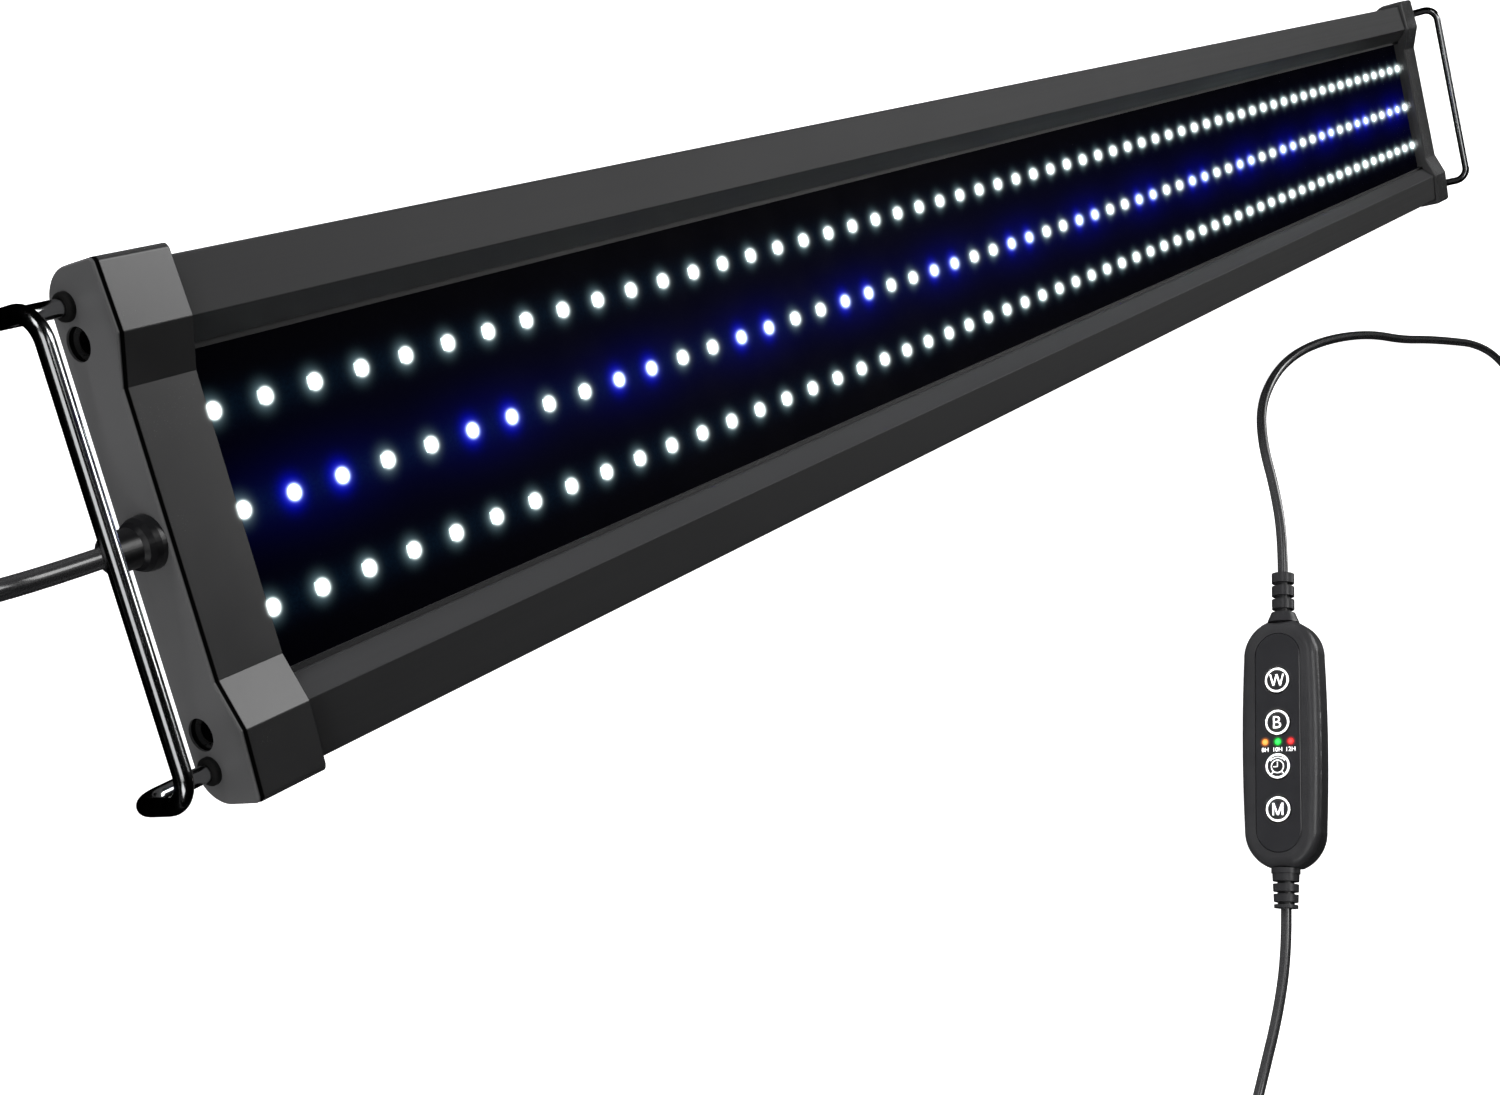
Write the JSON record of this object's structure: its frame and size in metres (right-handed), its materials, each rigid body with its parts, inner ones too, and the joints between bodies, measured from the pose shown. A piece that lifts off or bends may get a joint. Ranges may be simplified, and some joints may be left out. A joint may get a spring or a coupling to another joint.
{
  "type": "led aquarium light",
  "caption": "Slim black LED bar for an aquarium with rows of lit white and blue LEDs, sliding wire feet, and a corded push-button controller with a barrel plug.",
  "frame": {"origin": "middle of the bar's footprint, on the surface that its back lies on; the feet are part of the footprint, the cord and its controller are not", "axes": "+X along the bar, away from the end where the cord leaves; +Z out of the LED side; it is turned over for use, so that the wire feet rest on the tank's rims and the LEDs face the water"},
  "size_m": [1.2065, 0.4573, 0.0357],
  "materials": {
    "anodised_housing": "black anodised, satin",
    "board_black": "black solder mask",
    "led_white": "lit, cool white",
    "led_blue": "lit, blue",
    "clear_lens": "clear, polished",
    "cap_plastic": "fine satin texture",
    "plate_plastic": "fine satin texture",
    "seal_rubber": "matte",
    "screw_steel": "blackened",
    "bush_rubber": "matte",
    "wire_steel": "polished",
    "guide_nylon": "natural nylon",
    "gland_rubber": "satin",
    "lead_insulation": "satin",
    "controller_shell": "fine leather grain",
    "controller_face": "satin gloss",
    "button_black": "satin with printed white rings and marks",
    "indicator_orange": "lit",
    "indicator_green": "lit",
    "indicator_red": "lit",
    "board_green": "solder mask",
    "switch_grey": "satin",
    "relief_rubber": "satin",
    "cord_sheath": "satin PVC",
    "tie_strap": "woven hook and loop",
    "plug_plastic": "satin",
    "plug_metal": "nickel plated"
  },
  "bodies": {
    "root": {"housing": "anodised_housing", "led_board": "board_black", "white_leds": "led_white", "blue_leds": "led_blue", "cover_lens": "clear_lens", "left_end_cap": "cap_plastic", "right_end_cap": "cap_plastic", "left_end_plate": "plate_plastic", "right_end_plate": "plate_plastic", "left_gasket": "seal_rubber", "right_gasket": "seal_rubber", "left_cap_screws": "screw_steel", "right_cap_screws": "screw_steel", "left_bushes": "bush_rubber", "right_bushes": "bush_rubber", "cable_gland": "gland_rubber", "gland_locknut": "guide_nylon", "inner_leads": "lead_insulation", "board_terminal": "guide_nylon", "controller_front": "controller_shell", "controller_back": "controller_shell", "controller_face": "controller_face", "orange_indicator": "indicator_orange", "green_indicator": "indicator_green", "red_indicator": "indicator_red", "controller_board": "board_green", "tact_switches": "switch_grey", "indicator_chips": "led_white", "controller_screws": "screw_steel", "upper_strain_relief": "relief_rubber", "lower_strain_relief": "relief_rubber", "light_cord": "cord_sheath", "supply_cord": "cord_sheath", "supply_coil": "cord_sheath", "cord_tie": "tie_strap", "supply_tail": "cord_sheath", "plug_grip": "plug_plastic", "plug_barrel": "plug_metal", "plug_insulator": "guide_nylon"},
    "left_foot": {"left_bracket": "wire_steel", "left_guides": "guide_nylon"},
    "right_foot": {"right_bracket": "wire_steel", "right_guides": "guide_nylon"},
    "white_key": {"white_button": "button_black"},
    "blue_key": {"blue_button": "button_black"},
    "timer_key": {"timer_button": "button_black"},
    "mode_key": {"mode_button": "button_black"}
  },
  "joints": [
    {"name": "left_foot_slide", "type": "slide", "parent": "root", "child": "left_foot", "axis": [-1, 0, 0], "range_m": [-0.012, 0.08]},
    {"name": "right_foot_slide", "type": "slide", "parent": "root", "child": "right_foot", "axis": [1, 0, 0], "range_m": [-0.012, 0.08]},
    {"name": "white_press", "type": "slide", "parent": "root", "child": "white_key", "axis": [0.866, -0.5, 0], "range_m": [0, 0.0005], "stiffness_N_per_m": 1500},
    {"name": "blue_press", "type": "slide", "parent": "root", "child": "blue_key", "axis": [0.866, -0.5, 0], "range_m": [0, 0.0005], "stiffness_N_per_m": 1500},
    {"name": "timer_press", "type": "slide", "parent": "root", "child": "timer_key", "axis": [0.866, -0.5, 0], "range_m": [0, 0.0005], "stiffness_N_per_m": 1500},
    {"name": "mode_press", "type": "slide", "parent": "root", "child": "mode_key", "axis": [0.866, -0.5, 0], "range_m": [0, 0.0005], "stiffness_N_per_m": 1500}
  ]
}
